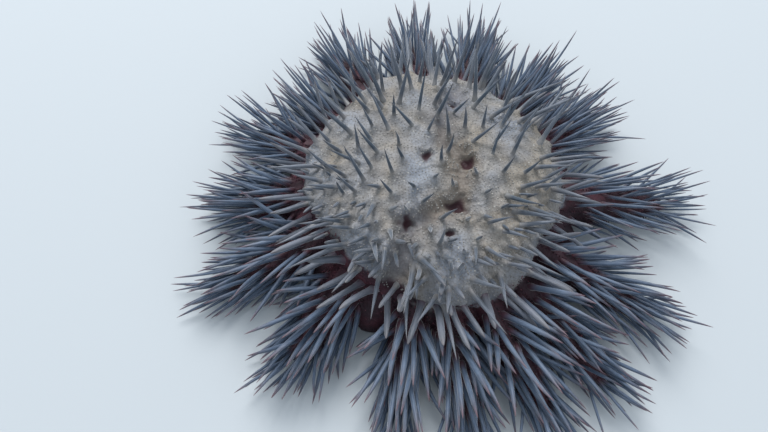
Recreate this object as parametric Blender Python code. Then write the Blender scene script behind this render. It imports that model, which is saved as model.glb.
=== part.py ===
"""A crown of thorns starfish at life size, resting on level ground with its arms spread.

The swollen disc and each of the sixteen arms are separate solids. Every spine is a tapered,
slightly bent four-sided thorn with its root sunk in the disc or arm that carries it.
All lengths are in metres, +Z is up, and -Y is the side nearest to the viewer.
"""
import math
import random

import bmesh
import bpy
from mathutils import Matrix, Vector
from mathutils.geometry import intersect_line_line

# The disc, a puffed cushion with a flat sole and a hollow for the mouth
DISC_RADIUS = 0.082
DISC_HEIGHT = 0.059
RIM_HEIGHT = 0.031
CROWN_FULLNESS = 0.72
OUTLINE_LOBES = ((2, 2.2, 0.018), (5, 0.6, 0.012))
OUTLINE_DENTS = ((150, 0.0060, 16), (45, 0.0045, 30), (222, 0.0060, 16), (338, 0.0055, 28))
LUMP_HEIGHT = 0.0025
LUMP_WIDTH = 0.021
VALLEY_DEPTH = 0.0045
VALLEY_WIDTH = 0.016
VALLEY_X = 0.012
SOLE_SHARE = 0.985
SOLE_LATITUDE = math.radians(36)
MOUTH_LATITUDE = math.radians(72)
MOUTH_ROOF_LATITUDE = math.radians(85)
MOUTH_RADIUS = 0.011
MOUTH_DEPTH = 0.008
DISC_SIDES = 45
DISC_RINGS = 10

# The arms: bearing in degrees from +X towards +Y, length past the disc, sideways sway of the tip
ARMS = (
    (8, 0.071, -0.002),
    (36, 0.048, 0.004),
    (58, 0.046, -0.003),
    (80, 0.048, 0.004),
    (103, 0.046, -0.003),
    (126, 0.050, 0.004),
    (148, 0.026, 0.002),
    (168, 0.045, -0.003),
    (190, 0.044, 0.004),
    (213, 0.064, 0.005),
    (239, 0.058, 0.005),
    (269, 0.058, 0.004),
    (286, 0.064, 0.004),
    (303, 0.069, 0.003),
    (320, 0.073, -0.003),
    (337, 0.073, 0.004),
)
ARM_ROOT_DEPTH = 0.014
ARM_WIDEST = 0.0170
ARM_TIP_HALF_WIDTH = 0.0064
ARM_ROOT_HEIGHT = 0.034
ARM_TIP_HEIGHT = 0.012
WIDTH_TAPER = 1.3
HEIGHT_TAPER = 0.8
END_BLUNTNESS = 6
FLANK_SQUARENESS = 0.85
BELLY_SHARE = 0.42
GROOVE_SHARE = 0.14
GIRTH_ANGLES = (0, 35, 70, 105, 140, 163, 180)
ARM_RINGS = 8

# The spines of the arms: girth angles of the rows, and values from the root to the tip of the arm
ARM_SPINE_RADIUS = 0.0018
ARM_SPINE_ROWS = 7
FIRST_ROW_GAP = 0.0080
LAST_ROW_SHARE = 0.93
WIDE_ROW = (-98, -60, -20, 20, 60, 98)
NARROW_ROW = (-80, -40, 0, 40, 80)
ARM_SPINE_SWEEP = (0.95, 1.70)
ARM_SPINE_LENGTHS = (0.030, 0.046)
LENGTH_RISE = (0.25, 0.60)
LOWEST_AIM = 0.05
HOME_LIFT = 0.45
TIP_FAN = (-62, -30, 0, 30, 62)
TIP_FAN_GIRTH = 1.3
TIP_FAN_SPREAD = 0.75
TIP_SPINE_SHARE = 0.985
TIP_SPINE_LENGTH = 0.037
TIP_SPINE_LIFT = 0.10

# The spines of the disc, short in the middle and long at the rim
DISC_SPINE_RADIUS = 0.0014
DISC_SPINE_COUNT = 92
DISC_SPINE_EDGE = 0.97
DISC_SPINE_LENGTHS = (0.017, 0.036)
DISC_SPINE_LEAN = 0.25
GOLDEN_ANGLE = math.radians(137.508)

# Every spine: a straight shaft and a sharper end, bent aside a little or, on a few, markedly
SHAFT_SHARE = 0.64
SHAFT_TAPER = 0.74
ROOT_DEPTH = 0.0055
SLIGHT_BEND = 0.05
MARKED_BEND = 0.15
MARKED_BEND_SHARE = 0.12

# How the spines vary and how hard a place is sought for each
SEED = 20
GIRTH_WANDER = math.radians(5)
SPOT_WANDER = 0.025
AIM_WANDER = 0.10
LENGTH_WANDER = (0.87, 1.08)
TRIES = 14
MOST_LEAN = 0.8

# Clearances
NODE_GAP = 0.0003
SPINE_GAP = 0.0006
FLOOR_GAP = 0.0020
TRIMMER_DROP = 0.0013


def clear_scene():
    for thing in list(bpy.data.objects):
        bpy.data.objects.remove(thing, do_unlink=True)


def make_collection(name):
    collection = bpy.data.collections.new(name)
    bpy.context.scene.collection.children.link(collection)
    return collection


def make_material(name, colour, roughness):
    material = bpy.data.materials.new(name)
    material.use_nodes = True
    shader = material.node_tree.nodes["Principled BSDF"]
    shader.inputs["Base Color"].default_value = (*colour, 1)
    shader.inputs["Roughness"].default_value = roughness
    shader.inputs["Metallic"].default_value = 0
    return material


def mesh_object(name, bm, collection, material):
    mesh = bpy.data.meshes.new(name)
    bm.to_mesh(mesh)
    bm.free()
    thing = bpy.data.objects.new(name, mesh)
    thing.data.materials.append(material)
    collection.objects.link(thing)
    return thing


def between(ends, share):
    return ends[0] + (ends[1] - ends[0]) * share


def wander(draw, most):
    return Vector([draw.uniform(-most, most) for _ in range(3)])


# The disc

def disc_outline(bearing):
    """Radius of the disc in plan, with the shallow lobes and dents of a swollen animal."""
    lobes = sum(size * math.sin(count * bearing + turn) for count, turn, size in OUTLINE_LOBES)
    dents = sum(
        depth * math.exp(sharpness * (math.cos(bearing - math.radians(turn)) - 1))
        for turn, depth, sharpness in OUTLINE_DENTS
    )
    return DISC_RADIUS * (1 + lobes) - dents


def crown_lumps(x, y):
    """Rise and fall of the crown: soft swellings and one valley from the far side to the near."""
    swelling = math.sin(x / LUMP_WIDTH + 0.9) * math.cos(y / LUMP_WIDTH - 0.5)
    valley = math.exp(-(((x - VALLEY_X) / VALLEY_WIDTH) ** 2))
    return LUMP_HEIGHT * swelling - VALLEY_DEPTH * valley


def disc_point(bearing, latitude, grow=0.0):
    """A point of the disc's skin; latitude runs from -90 degrees at the mouth to 90 at the crown."""
    radius = disc_outline(bearing) + grow
    sole_radius = radius * SOLE_SHARE
    if latitude >= 0:
        reach = radius * math.cos(latitude) ** CROWN_FULLNESS
        lumps = crown_lumps(reach * math.cos(bearing), reach * math.sin(bearing))
        height = RIM_HEIGHT + (DISC_HEIGHT - RIM_HEIGHT + grow + lumps) * math.sin(latitude)
    elif latitude > -SOLE_LATITUDE:
        fall = -latitude / SOLE_LATITUDE
        reach = between((radius, sole_radius), fall)
        height = RIM_HEIGHT * math.cos(fall * math.pi / 2)
    elif latitude > -MOUTH_ROOF_LATITUDE:
        inward = (-latitude - SOLE_LATITUDE) / (MOUTH_LATITUDE - SOLE_LATITUDE)
        reach = between((sole_radius, MOUTH_RADIUS), inward)
        height = 0.0
    else:
        reach = 0.0
        height = MOUTH_DEPTH
    return Vector((reach * math.cos(bearing), reach * math.sin(bearing), height))


def disc_body(grow=0.0):
    """The disc as a reshaped ball; grow makes the slightly larger copy that trims the arms."""
    bm = bmesh.new()
    bmesh.ops.create_uvsphere(bm, u_segments=DISC_SIDES, v_segments=DISC_RINGS, radius=1)
    for vertex in bm.verts:
        bearing = math.atan2(vertex.co.y, vertex.co.x)
        latitude = math.asin(max(-1.0, min(1.0, vertex.co.z)))
        vertex.co = disc_point(bearing, latitude, grow)
        if grow and latitude < -SOLE_LATITUDE / 2 and vertex.co.z < NODE_GAP:
            vertex.co.z -= TRIMMER_DROP
    return bm


# The arms

class Arm:
    """One arm: a tapering limb along its bearing, flat underneath with a groove for the feet."""

    def __init__(self, bearing, length, sway, elbow_room):
        turn = math.radians(bearing)
        rim = disc_outline(turn)
        room = rim * math.sin(math.radians(elbow_room) / 2) - NODE_GAP
        self.start = rim - ARM_ROOT_DEPTH
        self.span = length + ARM_ROOT_DEPTH
        self.sway = sway
        self.half_widths = (min(ARM_WIDEST, room), ARM_TIP_HALF_WIDTH)
        self.outward = Vector((math.cos(turn), math.sin(turn), 0))
        self.across = Vector((-math.sin(turn), math.cos(turn), 0))

    def centre(self, share):
        along = self.start + self.span * share
        return self.outward * along + self.across * self.sway * share ** 2

    def half_width(self, share):
        return between(self.half_widths, share ** WIDTH_TAPER)

    def height(self, share):
        return between((ARM_ROOT_HEIGHT, ARM_TIP_HEIGHT), share ** HEIGHT_TAPER)

    def point(self, share, girth):
        """Skin of the arm at a share of its span and an angle of girth from the top, in radians."""
        blunt = math.sqrt(max(0.0, 1 - abs(2 * share - 1) ** END_BLUNTNESS))
        flank = math.copysign(abs(math.sin(girth)) ** FLANK_SQUARENESS, girth)
        side = self.half_width(share) * blunt * flank
        rise = max(0.0, BELLY_SHARE + (1 - BELLY_SHARE) * blunt * math.cos(girth))
        if blunt > 0 and abs(girth) > math.radians((GIRTH_ANGLES[-2] + GIRTH_ANGLES[-1]) / 2):
            rise = GROOVE_SHARE * blunt
        return self.centre(share) + self.across * side + Vector((0, 0, self.height(share) * rise))

    def normal(self, share, girth):
        step = 0.02
        low = max(step, share - step)
        high = min(1 - step, share + step)
        along = self.point(high, girth) - self.point(low, girth)
        around = self.point(share, girth + step) - self.point(share, girth - step)
        return along.cross(around).normalized()

    def body(self):
        """The limb as a reshaped ball whose poles are the arm's two ends."""
        bm = bmesh.new()
        sides = 2 * (len(GIRTH_ANGLES) - 1)
        bmesh.ops.create_uvsphere(bm, u_segments=sides, v_segments=ARM_RINGS, radius=1)
        for vertex in bm.verts:
            turn = math.atan2(vertex.co.y, vertex.co.x)
            step = round(abs(turn) / (2 * math.pi) * sides)
            girth = math.copysign(math.radians(GIRTH_ANGLES[step]), turn)
            vertex.co = self.point(0.5 + vertex.co.z / 2, girth)
        bmesh.ops.recalc_face_normals(bm, faces=bm.faces)
        return bm


def make_arms():
    """The arms by node name, each no wider at its root than its nearer neighbour leaves room for."""
    arms = {}
    for k, (bearing, length, sway) in enumerate(ARMS):
        before = ARMS[k - 1][0]
        after = ARMS[(k + 1) % len(ARMS)][0]
        elbow_room = min((bearing - before) % 360, (after - bearing) % 360)
        arms[f"arm_{k + 1:02d}"] = Arm(bearing, length, sway, elbow_room)
    return arms


# The spines

class Spine:
    """A thorn that leaves the surface along an aim, with its tip bent a little aside."""

    def __init__(self, node, surface, aim, length, radius, bend):
        aim = aim.normalized()
        self.node = node
        self.surface = surface
        self.radius = radius
        self.root = surface - aim * ROOT_DEPTH
        self.knee = self.root + aim * (length + ROOT_DEPTH) * SHAFT_SHARE
        self.tip = surface + aim * length + bend

    def lowest(self):
        return min(self.tip.z, self.knee.z - self.radius)

    def runs(self):
        """Its two stretches, each as a start, an end and the widest radius."""
        return (
            (self.surface, self.knee, self.radius),
            (self.knee, self.tip, self.radius * SHAFT_TAPER),
        )

    def body(self):
        bm = bmesh.new()
        shaft = self.knee - self.root
        bmesh.ops.create_cone(
            bm,
            cap_ends=True,
            segments=4,
            radius1=self.radius,
            radius2=self.radius * SHAFT_TAPER,
            depth=shaft.length,
            matrix=Matrix.Translation((0, 0, shaft.length / 2)),
        )
        top = max(bm.faces, key=lambda face: face.calc_center_median().z)
        point = bmesh.ops.poke(bm, faces=[top])["verts"][0]
        place = Matrix.Translation(self.root) @ shaft.to_track_quat("Z", "Y").to_matrix().to_4x4()
        point.co = place.inverted() @ self.tip
        bm.transform(place)
        return bm


def point_gap(point, a, b):
    share = max(0.0, min(1.0, (point - a).dot(b - a) / (b - a).length_squared))
    return (point - a - (b - a) * share).length


def segment_gap(a, b, c, d):
    """Shortest distance between the segments ab and cd."""
    best = min(point_gap(a, c, d), point_gap(b, c, d), point_gap(c, a, b), point_gap(d, a, b))
    crossing = intersect_line_line(a, b, c, d)
    if crossing:
        share_first = (crossing[0] - a).dot(b - a) / (b - a).length_squared
        share_second = (crossing[1] - c).dot(d - c) / (d - c).length_squared
        if 0 < share_first < 1 and 0 < share_second < 1:
            best = min(best, (crossing[0] - crossing[1]).length)
    return best


def clear_of_spines(spine, placed):
    reach = 2 * max(ARM_SPINE_LENGTHS) + ROOT_DEPTH
    for other in placed:
        if (other.surface - spine.surface).length > reach:
            continue
        for a, b, first_radius in spine.runs():
            for c, d, second_radius in other.runs():
                if segment_gap(a, b, c, d) < first_radius + second_radius + SPINE_GAP:
                    return False
    return True


def clear_of_arms(spine, arms):
    """False where a spine comes within a spine's width of an arm that doesn't carry it."""
    margin = spine.radius + SPINE_GAP
    steps = 10
    for name, arm in arms.items():
        if name == spine.node:
            continue
        for k in range(2, steps + 1):
            point = spine.surface.lerp(spine.tip, k / steps)
            share = (point.dot(arm.outward) - arm.start) / arm.span
            if not -0.1 < share < 1 + margin / arm.span:
                continue
            inside = min(1.0, max(0.0, share))
            side = abs((point - arm.centre(inside)).dot(arm.across))
            if side < arm.half_width(inside) + margin and point.z < arm.height(inside) + margin:
                return False
    return True


def place_spine(node, surface, aim, length, radius, home, placed, arms, draw):
    """Places a spine, leaning it more and more towards its home direction until it is clear."""
    for attempt in range(TRIES):
        lean = MOST_LEAN * attempt / (TRIES - 1)
        leaning = aim.normalized().lerp(home.normalized(), lean) + wander(draw, AIM_WANDER)
        marked = draw.random() < MARKED_BEND_SHARE
        bend = wander(draw, length * (MARKED_BEND if marked else SLIGHT_BEND))
        spine = Spine(node, surface, leaning, length, radius, bend)
        if spine.lowest() < FLOOR_GAP:
            leaning.z += 1.5 * (FLOOR_GAP - spine.lowest()) / length
            spine = Spine(node, surface, leaning, length, radius, bend)
        if spine.lowest() < FLOOR_GAP:
            continue
        if clear_of_spines(spine, placed) and clear_of_arms(spine, arms):
            placed.append(spine)
            return


def grow_arm_spines(name, arm, placed, arms, draw):
    """Staggered rows along the arm, swept towards its tip, and a fan at the tip itself."""
    first_share = (ARM_ROOT_DEPTH + FIRST_ROW_GAP) / arm.span
    home = arm.outward + Vector((0, 0, HOME_LIFT))
    for row in range(ARM_SPINE_ROWS):
        progress = row / (ARM_SPINE_ROWS - 1)
        row_share = between((first_share, LAST_ROW_SHARE), progress)
        middle = math.sin(math.pi * (LENGTH_RISE[0] + LENGTH_RISE[1] * progress))
        for degrees in NARROW_ROW if row % 2 else WIDE_ROW:
            girth = math.radians(degrees) + draw.uniform(-GIRTH_WANDER, GIRTH_WANDER)
            share = row_share + draw.uniform(-SPOT_WANDER, SPOT_WANDER)
            aim = arm.normal(share, girth) + arm.outward * between(ARM_SPINE_SWEEP, progress)
            aim.z = max(aim.z, LOWEST_AIM)
            length = between(ARM_SPINE_LENGTHS, middle) * draw.uniform(*LENGTH_WANDER)
            surface = arm.point(share, girth)
            place_spine(name, surface, aim, length, ARM_SPINE_RADIUS, home, placed, arms, draw)
    tip_way = (arm.centre(1.0) - arm.centre(0.8)).normalized()
    home = tip_way + Vector((0, 0, TIP_SPINE_LIFT))
    for degrees in TIP_FAN:
        turn = math.radians(degrees)
        surface = arm.point(TIP_SPINE_SHARE, turn * TIP_FAN_GIRTH)
        aim = home + arm.across * math.sin(turn) * TIP_FAN_SPREAD
        length = TIP_SPINE_LENGTH * draw.uniform(*LENGTH_WANDER)
        place_spine(name, surface, aim, length, ARM_SPINE_RADIUS, home, placed, arms, draw)


def grow_disc_spines(placed, arms, draw):
    """A sunflower spread over the crown."""
    step = 0.03
    for k in range(DISC_SPINE_COUNT):
        share = math.sqrt((k + 0.5) / DISC_SPINE_COUNT) * DISC_SPINE_EDGE
        bearing = k * GOLDEN_ANGLE + draw.uniform(-GIRTH_WANDER, GIRTH_WANDER)
        latitude = math.acos(share ** (1 / CROWN_FULLNESS))
        around = disc_point(bearing + step, latitude) - disc_point(bearing - step, latitude)
        upward = disc_point(bearing, latitude) - disc_point(bearing, latitude - step)
        normal = around.cross(upward).normalized()
        outward = Vector((math.cos(bearing), math.sin(bearing), 0))
        aim = normal + outward * DISC_SPINE_LEAN * share
        home = normal + Vector((0, 0, 1))
        length = between(DISC_SPINE_LENGTHS, share ** 2) * draw.uniform(*LENGTH_WANDER)
        surface = disc_point(bearing, latitude)
        place_spine("disc", surface, aim, length, DISC_SPINE_RADIUS, home, placed, arms, draw)


# Joining and trimming

def apply_boolean(thing, operation, collection=None, cutter=None):
    modifier = thing.modifiers.new(operation.title(), "BOOLEAN")
    modifier.operation = operation
    modifier.solver = "EXACT"
    if collection:
        modifier.operand_type = "COLLECTION"
        modifier.collection = collection
    else:
        modifier.object = cutter
    evaluated = thing.evaluated_get(bpy.context.evaluated_depsgraph_get())
    joined = bpy.data.meshes.new_from_object(evaluated)
    thing.modifiers.clear()
    thing.data = joined


def keep_largest(thing):
    """Keeps the largest closed surface of an object and drops loose scraps."""
    bm = bmesh.new()
    bm.from_mesh(thing.data)
    bmesh.ops.dissolve_degenerate(bm, dist=1e-6, edges=bm.edges)
    bmesh.ops.triangulate(bm, faces=bm.faces)
    unseen = set(bm.verts)
    islands = []
    while unseen:
        seed = unseen.pop()
        island = {seed}
        front = [seed]
        while front:
            for edge in front.pop().link_edges:
                for vertex in edge.verts:
                    if vertex in unseen:
                        unseen.remove(vertex)
                        island.add(vertex)
                        front.append(vertex)
        islands.append(island)
    islands.sort(key=len, reverse=True)
    for scrap in islands[1:]:
        bmesh.ops.delete(bm, geom=list(scrap), context="VERTS")
    bm.to_mesh(thing.data)
    bm.free()
    return len(islands) - 1


def join_spines(thing, spines, material):
    """Fuses a node's spines into its body in one union."""
    thorns = make_collection(thing.name + "_thorns")
    for k, spine in enumerate(spines):
        mesh_object(f"{thing.name}_thorn_{k:03d}", spine.body(), thorns, material)
    bpy.context.view_layer.update()
    apply_boolean(thing, "UNION", collection=thorns)
    for thorn in list(thorns.objects):
        bpy.data.objects.remove(thorn, do_unlink=True)
    bpy.data.collections.remove(thorns)
    dropped = keep_largest(thing)
    thing.data.shade_smooth()
    thing.data.set_sharp_from_angle(angle=math.radians(35))
    print(thing.name, "spines", len(spines), "triangles", len(thing.data.polygons), "dropped", dropped)


def centre_on_base(things):
    """Moves the whole animal so that the middle of its bounding box's base is the origin."""
    corners = [thing.matrix_world @ v.co for thing in things for v in thing.data.vertices]
    middle = [(min(c[i] for c in corners) + max(c[i] for c in corners)) / 2 for i in range(2)]
    low = min(c.z for c in corners)
    for thing in things:
        thing.location -= Vector((middle[0], middle[1], low))
    print("origin moved by", [round(-x, 5) for x in (*middle, low)])


def main():
    clear_scene()
    model = make_collection("crown_of_thorns_starfish")
    cutters = make_collection("cutters")
    tan_skin = make_material("tan_granular_skin", (0.25, 0.22, 0.19), 0.85)
    dark_skin = make_material("maroon_arm_skin", (0.055, 0.045, 0.06), 0.7)

    arms = make_arms()
    placed = []
    for k, (name, arm) in enumerate(arms.items()):
        grow_arm_spines(name, arm, placed, arms, random.Random(SEED + k))
    grow_disc_spines(placed, arms, random.Random(SEED + len(arms)))
    print("spines in all", len(placed))

    disc = mesh_object("disc", disc_body(), model, tan_skin)
    trimmer = mesh_object("disc_trimmer", disc_body(NODE_GAP), cutters, tan_skin)
    trimmer.hide_render = True
    trimmer.display_type = "WIRE"
    nodes = [disc]
    for name, arm in arms.items():
        limb = mesh_object(name, arm.body(), model, dark_skin)
        bpy.context.view_layer.update()
        apply_boolean(limb, "DIFFERENCE", cutter=trimmer)
        nodes.append(limb)
    for thing in nodes:
        join_spines(thing, [s for s in placed if s.node == thing.name], thing.data.materials[0])
    bpy.data.objects.remove(trimmer, do_unlink=True)
    bpy.context.view_layer.update()
    centre_on_base(nodes)
    print("triangles in all", sum(len(thing.data.polygons) for thing in nodes))


main()
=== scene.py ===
# %% [markdown]
# # A crown of thorns starfish at life size
#
# The animal is a swollen, tan disc in a ring of short dark arms, all of it bristling with long
# thorns. It could be sculpted by hand, but its shapes follow simple rules: a domed cushion,
# tapering limbs, thorns that sweep outward. So this lesson builds it from a few real sizes and
# formulas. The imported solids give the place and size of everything.

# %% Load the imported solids
import random
from functools import partial
from math import acos, asin, atan, atan2, copysign, cos, exp, hypot, pi, radians, sin, sqrt, tan

import bmesh
import bpy
import numpy as np
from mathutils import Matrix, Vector, noise
from mathutils.bvhtree import BVHTree


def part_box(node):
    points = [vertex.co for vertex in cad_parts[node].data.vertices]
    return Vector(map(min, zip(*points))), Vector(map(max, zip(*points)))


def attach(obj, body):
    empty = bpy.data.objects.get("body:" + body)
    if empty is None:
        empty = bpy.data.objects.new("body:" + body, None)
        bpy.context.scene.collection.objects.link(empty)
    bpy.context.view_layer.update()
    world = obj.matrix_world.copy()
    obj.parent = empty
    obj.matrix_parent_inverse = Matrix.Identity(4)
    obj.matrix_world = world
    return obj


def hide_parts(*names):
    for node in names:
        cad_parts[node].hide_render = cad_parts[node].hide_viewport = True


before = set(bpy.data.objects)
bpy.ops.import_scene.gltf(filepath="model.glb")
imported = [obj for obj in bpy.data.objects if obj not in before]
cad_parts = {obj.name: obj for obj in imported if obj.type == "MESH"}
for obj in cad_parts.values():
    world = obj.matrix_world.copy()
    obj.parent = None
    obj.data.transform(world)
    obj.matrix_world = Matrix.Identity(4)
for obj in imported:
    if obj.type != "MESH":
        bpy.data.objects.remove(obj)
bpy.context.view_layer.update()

# %% [markdown]
# ## Where the middle of the disc lies
#
# The frame's origin is the middle of the whole animal's box, and the disc's own middle lies a
# little aside. The solid disc has one corner in the roof of its mouth, exactly on its axis, so
# finding that corner is safer than typing a pair of numbers.

# %% Find the disc's middle
MOUTH_DEPTH = 0.008


def disc_middle():
    low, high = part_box("disc")
    guess = Vector(((low.x + high.x) / 2, (low.y + high.y) / 2, MOUTH_DEPTH))
    corners = [corner.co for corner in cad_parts["disc"].data.vertices]
    roof = min(corners, key=lambda corner: (corner - guess).length)
    return Vector((roof.x, roof.y, 0))


MIDDLE = disc_middle()
print("disc's middle at", [round(value * 1000, 2) for value in MIDDLE], "mm")

# %% [markdown]
# ## The view
#
# The picture was taken from close by, from the animal's near side and well above it. A short
# distance and a wide angle make the near thorns look large, so both matter as much as the
# direction. The disc isn't in the middle of the picture, so the camera turns a little aside.

# %% Place the camera
PHOTO_SIZE = (768, 432)
DISC_PIXEL = (432, 172)
LOOK_HEIGHT = 0.045
VIEW_ELEVATION = radians(60)
VIEW_DISTANCE = 0.375
VIEW_WIDTH = radians(65)
NEAREST_SEEN = 0.01


def up(height):
    return Vector((0, 0, height))


def add_object(name, data):
    thing = bpy.data.objects.new(name, data)
    bpy.context.scene.collection.objects.link(thing)
    return thing


def make_camera():
    camera = add_object("view", bpy.data.cameras.new("view"))
    camera.data.lens = camera.data.sensor_width / 2 / tan(VIEW_WIDTH / 2)
    camera.data.clip_start = NEAREST_SEEN
    back = Vector((0, -cos(VIEW_ELEVATION), sin(VIEW_ELEVATION)))
    camera.location = MIDDLE + up(LOOK_HEIGHT) + back * VIEW_DISTANCE
    focal = PHOTO_SIZE[0] / 2 / tan(VIEW_WIDTH / 2)
    aside = (DISC_PIXEL[0] - PHOTO_SIZE[0] / 2) / focal
    above = (PHOTO_SIZE[1] / 2 - DISC_PIXEL[1]) / focal
    reach = sqrt(1 + aside ** 2 + above ** 2) / sqrt(1 + above ** 2)
    pitch = atan(above) + asin(reach * sin(VIEW_ELEVATION))
    turn = atan2(aside, cos(pitch) + above * sin(pitch))
    camera.rotation_euler = (pi / 2 - pitch, 0, turn)
    return camera


bpy.context.scene.camera = make_camera()
print("camera at", [round(value, 3) for value in bpy.context.scene.camera.location])

# %% [markdown]
# ## Colours and nodes
#
# Colours are easiest to pick as the sRGB hex values of a paint chart, but the shaders work in
# linear light, so one function turns them. A second small function adds a node, gives it its
# settings and links, and hands back its output. Every material below is made with these two.

# %% Helpers for materials
MIX_A, MIX_B, MIX_RESULT = 6, 7, 2


def linear(hex_colour):
    """An sRGB hex colour as linear red, green, blue and alpha."""
    channels = [int(hex_colour[k:k + 2], 16) / 255 for k in (1, 3, 5)]
    return (*[c / 12.92 if c <= 0.04045 else ((c + 0.055) / 1.055) ** 2.4 for c in channels], 1)


def add_node(tree, kind, settings, output=0):
    """Adds a node and hands back one of its outputs, or the node itself if it has none.

    A setting is a property, the stops of a ramp, or the value or the link of an input.
    """
    node = tree.nodes.new("ShaderNode" + kind)
    for name, value in settings.items():
        if name == "stops":
            while len(node.color_ramp.elements) < len(value):
                node.color_ramp.elements.new(1)
            for element, (place, colour) in zip(node.color_ramp.elements, value):
                element.position = place
                element.color = linear(colour)
        elif isinstance(value, bpy.types.NodeSocket):
            tree.links.new(value, node.inputs[name])
        elif isinstance(name, str) and hasattr(node, name):
            setattr(node, name, value)
        else:
            node.inputs[name].default_value = value
    return node.outputs[output] if node.outputs else node


def new_material(name):
    """A material with an empty node tree, and the function that adds a node to it."""
    material = bpy.data.materials.new(name)
    material.use_nodes = True
    material.node_tree.nodes.clear()
    return material, partial(add_node, material.node_tree)


print("helpers ready, a mid grey is", [round(c, 3) for c in linear("#808080")])

# %% [markdown]
# ## The shape of the disc and the arms
#
# The disc is a puffed cushion: a domed crown with soft swellings and one valley, a round rim,
# an upright wall and a flat sole. Broad dents keep its outline from being a circle, as the
# flesh sags inward between some arms. Each arm is a tapering limb, flat underneath. These are
# the formulas and sizes of the solids, so the skin lies where the solids do. Each is a function
# of two numbers, a bearing and a latitude on the disc, a share of the length and an angle of
# girth on an arm, because the thorns need them too.

# %% The disc as a formula
DISC_RADIUS = 0.082
DISC_HEIGHT = 0.059
RIM_HEIGHT = 0.031
CROWN_FULLNESS = 0.72
OUTLINE_LOBES = ((2, 2.2, 0.018), (5, 0.6, 0.012))
OUTLINE_DENTS = ((150, 0.0060, 16), (45, 0.0045, 30), (222, 0.0060, 16), (338, 0.0055, 28))
LUMP_HEIGHT = 0.0025
LUMP_WIDTH = 0.021
LUMP_SHIFTS = (0.9, -0.5)
VALLEY_DEPTH = 0.0045
VALLEY_WIDTH = 0.016
VALLEY_X = 0.012
SOLE_SHARE = 0.985
SOLE_LATITUDE = radians(36)
MOUTH_LATITUDE = radians(72)
MOUTH_RADIUS = 0.011


def between(ends, share):
    return ends[0] + (ends[1] - ends[0]) * share


def dents(bearing, rows):
    """Depth of the dents of an outline. Each row is a bearing in degrees, a depth, a sharpness."""
    return sum(
        depth * np.exp(sharpness * (np.cos(bearing - radians(turn)) - 1))
        for turn, depth, sharpness in rows
    )


def disc_outline(bearing):
    """Radius of the disc in plan, with the shallow lobes and dents of a swollen animal."""
    lobes = sum(size * np.sin(count * bearing + turn) for count, turn, size in OUTLINE_LOBES)
    return DISC_RADIUS * (1 + lobes) - dents(bearing, OUTLINE_DENTS)


def crown_lumps(x, y):
    """Rise and fall of the crown: soft swellings and one valley from the far side to the near."""
    waves = sin(x / LUMP_WIDTH + LUMP_SHIFTS[0]) * cos(y / LUMP_WIDTH + LUMP_SHIFTS[1])
    valley = exp(-(((x - VALLEY_X) / VALLEY_WIDTH) ** 2))
    return LUMP_HEIGHT * waves - VALLEY_DEPTH * valley


def disc_point(bearing, latitude):
    """A point of the disc's skin, from -90 degrees at the mouth to 90 at the crown."""
    cosine, sine, radius = cos(bearing), sin(bearing), float(disc_outline(bearing))
    if latitude >= 0:
        reach = radius * cos(latitude) ** CROWN_FULLNESS
        lumps = crown_lumps(reach * cosine, reach * sine)
        height = RIM_HEIGHT + (DISC_HEIGHT - RIM_HEIGHT + lumps) * sin(latitude)
    elif latitude > -SOLE_LATITUDE:
        fall = -latitude / SOLE_LATITUDE
        reach = between((radius, radius * SOLE_SHARE), fall)
        height = RIM_HEIGHT * cos(fall * pi / 2)
    else:
        inward = (-latitude - SOLE_LATITUDE) / (MOUTH_LATITUDE - SOLE_LATITUDE)
        reach = max(0.0, between((radius * SOLE_SHARE, MOUTH_RADIUS), inward))
        height = MOUTH_DEPTH * max(0.0, 1 - (reach / MOUTH_RADIUS) ** 2)
    return MIDDLE + Vector((reach * cosine, reach * sine, height))


print("disc", round(2000 * DISC_RADIUS), "mm across and", round(1000 * DISC_HEIGHT), "mm high")

# %% The arms as formulas
# Each row is a bearing in degrees, a length past the disc and a sway aside at the tip.
ARMS = (
    (8, 0.071, -0.002), (36, 0.048, 0.004), (58, 0.046, -0.003), (80, 0.048, 0.004),
    (103, 0.046, -0.003), (126, 0.050, 0.004), (148, 0.026, 0.002), (168, 0.045, -0.003),
    (190, 0.044, 0.004), (213, 0.064, 0.005), (239, 0.058, 0.005), (269, 0.058, 0.004),
    (286, 0.064, 0.004), (303, 0.069, 0.003), (320, 0.073, -0.003), (337, 0.073, 0.004),
)
ARM_ROOT_DEPTH = 0.014
ARM_WIDEST = 0.0170
ARM_TIP_HALF_WIDTH = 0.0064
ARM_HEIGHTS = (0.034, 0.012)
WIDTH_TAPER = 1.3
HEIGHT_TAPER = 0.8
END_BLUNTNESS = 6
FLANK_SQUARENESS = 0.85
BELLY_SHARE = 0.42


def level_ways(bearing):
    """The level ways outward and across at a bearing."""
    cosine, sine = cos(bearing), sin(bearing)
    return Vector((cosine, sine, 0)), Vector((-sine, cosine, 0))


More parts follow.
